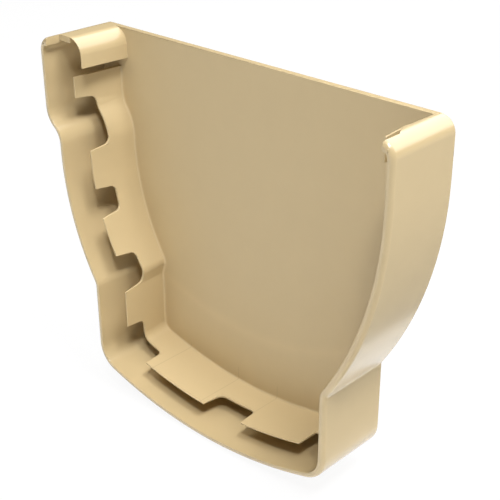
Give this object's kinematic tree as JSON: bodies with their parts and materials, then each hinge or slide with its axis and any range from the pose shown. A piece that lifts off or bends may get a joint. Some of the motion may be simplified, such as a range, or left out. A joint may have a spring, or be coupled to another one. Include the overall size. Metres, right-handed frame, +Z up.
{
  "type": "gutter end cap",
  "caption": "Moulded end cap for an ogee rain gutter: closed end plate, deep skirt and a tabbed inner wall that grip the gutter's end.",
  "frame": {"origin": "on the end plate's stop face, half-way across the width and half-way up the height", "axes": "+X across the gutter from the ogee side to the plain curved side, +Y in the direction in which the gutter slides in, out through the plate, +Z up"},
  "size_m": [0.144, 0.0275, 0.1244],
  "materials": {
    "pvc": "semi-gloss moulded beige"
  },
  "bodies": {
    "root": {"end_cap": "pvc"}
  },
  "joints": []
}
